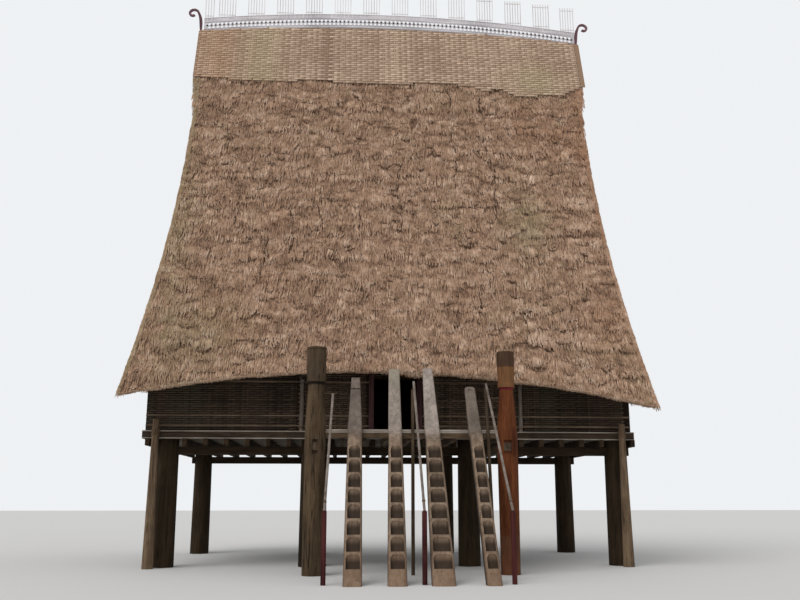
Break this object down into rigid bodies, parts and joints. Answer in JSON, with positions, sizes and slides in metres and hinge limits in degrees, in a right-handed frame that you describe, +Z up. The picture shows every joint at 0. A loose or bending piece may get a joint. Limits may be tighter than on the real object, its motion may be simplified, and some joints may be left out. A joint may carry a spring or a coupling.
{
  "type": "stilt house",
  "caption": "Communal stilt house with a very tall thatched roof, a raised woven-walled room, a porch and notched log ladders.",
  "frame": {"origin": "on the ground, under the middle of the whole object's bounding box, ladders included", "axes": "+X along the ridge to the viewer's right, +Y from the ladders to the back, +Z up"},
  "size_m": [14.2824, 13.7298, 19.2533],
  "materials": {
    "column_wood": "weathered dark hardwood",
    "joist_wood": "rough sawn, dark",
    "floor_bamboo": "split bamboo, dry",
    "sill_wood": "weathered plank",
    "wall_weave": "woven bamboo, smoked dark",
    "door_wood": "oiled hardwood",
    "pale_pole": "weathered pole, matt",
    "corner_pole": "weathered pole, matt",
    "roof_timber": "round timber, dry",
    "thatch": "dry grass thatch",
    "ridge_mat": "woven bamboo mat",
    "crest_bamboo": "greyed split bamboo",
    "scroll_wood": "dark red paint, worn",
    "porch_timber": "hewn timber",
    "deck_bamboo": "split bamboo, pale",
    "grey_post": "adzed hardwood, greyed",
    "red_post": "adzed hardwood, red brown",
    "red_rail_post": "dark red paint, worn",
    "ladder_wood": "adzed log, worn treads"
  },
  "bodies": {
    "root": {"columns_front": "column_wood", "columns_back": "column_wood", "floor_girders": "column_wood", "floor_joists": "joist_wood", "floor_deck": "floor_bamboo", "sill_planks": "sill_wood", "front_wall_left": "wall_weave", "front_wall_right": "wall_weave", "entrance_panel_left": "wall_weave", "entrance_panel_right": "wall_weave", "wall_over_door": "wall_weave", "door_frame": "door_wood", "back_wall": "wall_weave", "left_wall": "wall_weave", "right_wall": "wall_weave", "entrance_posts": "pale_pole", "corner_posts": "corner_pole", "tie_beams": "roof_timber", "eave_beams": "roof_timber", "end_plates": "roof_timber", "purlins": "roof_timber", "ridge_beam": "roof_timber", "rafters_front": "roof_timber", "rafters_back": "roof_timber", "end_poles": "roof_timber", "thatch_front": "thatch", "thatch_back": "thatch", "thatch_left": "thatch", "thatch_right": "thatch", "ridge_net": "ridge_mat", "crest_band": "crest_bamboo", "crest_stakes": "crest_bamboo", "scroll_finials": "scroll_wood", "porch_beam": "porch_timber", "porch_joists": "porch_timber", "porch_side_beams": "porch_timber", "porch_deck": "deck_bamboo", "front_post_left": "grey_post", "front_post_right": "red_post", "rail_posts": "corner_pole", "ground_posts": "red_rail_post", "handrails": "pale_pole", "porch_rails": "pale_pole", "ladder_1": "ladder_wood", "ladder_2": "ladder_wood", "ladder_3": "ladder_wood", "ladder_4": "ladder_wood"}
  },
  "joints": []
}
